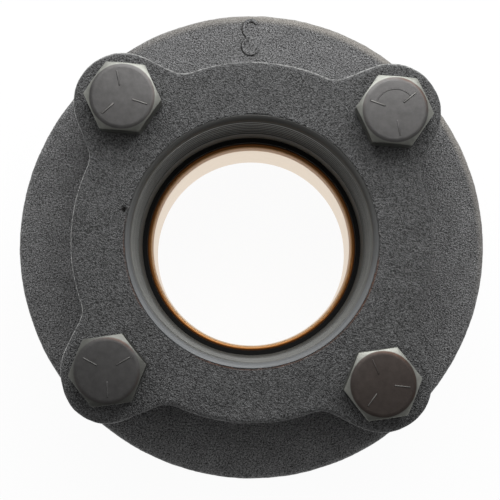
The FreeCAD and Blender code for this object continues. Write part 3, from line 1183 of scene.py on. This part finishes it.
studio = {
    "floorSize": 4.0,
    "floorColour": (0.92, 0.92, 0.92, 1),
    "floorGlow": 0.95,
    "ground": 0.03,
    "overhead": 0.31,
    "overheadSpread": 4.0,
    "horizon": 1.6,
    "behind": (-0.8, 1.0),
    "sideways": 0.35,
    "white": (1, 1, 1, 1),
    "lampAim": (0.0, 0.0, 0.08),
    # place, size and power
    "lamps": {
        "keyLamp": ((0.02, 0.23, 0.27), (0.36, 0.24), 1.15),
        "softLamp": ((0.05, 0.30, 0.85), (0.7, 0.5), 1.4),
    },
}


def makeFloor():
    deselectAll()
    bpy.ops.mesh.primitive_plane_add(size=studio["floorSize"], location=(0, 0, 0))
    floor = bpy.context.object
    floor.name = "studioFloor"
    material = bpy.data.materials.new("paleFloor")
    material.use_nodes = True
    tree = material.node_tree
    tree.nodes.clear()
    paint = addNode(tree, "ShaderNodeBsdfDiffuse", {"Color": studio["floorColour"]})
    glow = addNode(tree, "ShaderNodeEmission", {"Color": studio["white"], "Strength": 1.0})
    path = addNode(tree, "ShaderNodeLightPath").outputs
    seen = path["Is Camera Ray"]
    for ray in ("Is Glossy Ray", "Is Transmission Ray"):
        seen = reckon(tree, "MAXIMUM", seen, path[ray])
    inputs = {
        "Fac": reckon(tree, "MULTIPLY", seen, studio["floorGlow"]),
        1: paint.outputs["BSDF"],
        2: glow.outputs["Emission"],
    }
    mix = addNode(tree, "ShaderNodeMixShader", inputs)
    addNode(tree, "ShaderNodeOutputMaterial", {"Surface": mix.outputs["Shader"]})
    floor.data.materials.append(material)


def makeWorld():
    # White walls round the back and sides, a small glow overhead, and dark in front.
    world = bpy.data.worlds.new("studioWorld")
    bpy.context.scene.world = world
    world.use_nodes = True
    tree = world.node_tree
    tree.nodes.clear()
    way = split(tree, addNode(tree, "ShaderNodeTexCoord").outputs["Generated"])
    behind = ramp(tree, way["Y"], studio["behind"])
    aside = reckon(tree, "ABSOLUTE", way["X"])
    around = reckon(tree, "MULTIPLY_ADD", aside, studio["sideways"], behind)
    low = product(tree, ramp(tree, way["Z"], (1, 0)), around)
    walls = reckon(tree, "MULTIPLY_ADD", low, studio["horizon"], studio["ground"])
    high = reckon(tree, "POWER", way["Z"], studio["overheadSpread"])
    sky = reckon(tree, "MULTIPLY_ADD", high, studio["overhead"], walls)
    seen = addNode(tree, "ShaderNodeLightPath").outputs["Is Camera Ray"]
    strength = blend(tree, seen, sky, 1.0, "FLOAT")
    inputs = {"Color": studio["white"], "Strength": strength}
    backdrop = addNode(tree, "ShaderNodeBackground", inputs)
    addNode(tree, "ShaderNodeOutputWorld", {"Surface": backdrop.outputs["Background"]})


def makeLamp(name, place, size, power):
    deselectAll()
    bpy.ops.object.light_add(type="AREA", location=place)
    lamp = bpy.context.object
    lamp.name = name
    lamp.data.shape = "RECTANGLE"
    lamp.data.size, lamp.data.size_y = size
    lamp.data.energy = power
    lamp.visible_camera = False
    towards = Vector(studio["lampAim"]) - Vector(place)
    lamp.rotation_euler = towards.to_track_quat("-Z", "Y").to_euler()


photoCamera = {
    "tilt": 3.2,
    "turn": -0.15,
    "roll": -2.84,
    "distance": 460.0,
    "centre": (0.64, 3.20),
    "lens": 93.4,
    "sensor": 36.0,
    "clip": (0.05, 20.0),
}


def makeCamera():
    deselectAll()
    bpy.ops.object.camera_add()
    camera = bpy.context.object
    camera.name = "photoCamera"
    camera.data.lens = photoCamera["lens"]
    camera.data.sensor_width = photoCamera["sensor"]
    camera.data.clip_start, camera.data.clip_end = photoCamera["clip"]
    toFace = Matrix.Translation((0, 0, -pipeThread["faceHeight"] * mm))
    roll = Matrix.Rotation(math.radians(photoCamera["roll"]), 4, "Z")
    tilt = Matrix.Rotation(math.radians(-photoCamera["tilt"]), 4, "X")
    turn = Matrix.Rotation(math.radians(-photoCamera["turn"]), 4, "Y")
    across, up = photoCamera["centre"]
    back = Matrix.Translation(metres((across, up, -photoCamera["distance"])))
    camera.matrix_world = (back @ turn @ tilt @ roll @ toFace).inverted()
    bpy.context.scene.camera = camera


makeFloor()
makeWorld()
for lampName, (lampPlace, lampSize, lampPower) in studio["lamps"].items():
    makeLamp(lampName, lampPlace, lampSize, lampPower)
makeCamera()
bpy.context.scene.view_settings.view_transform = "Standard"
print("studio made")
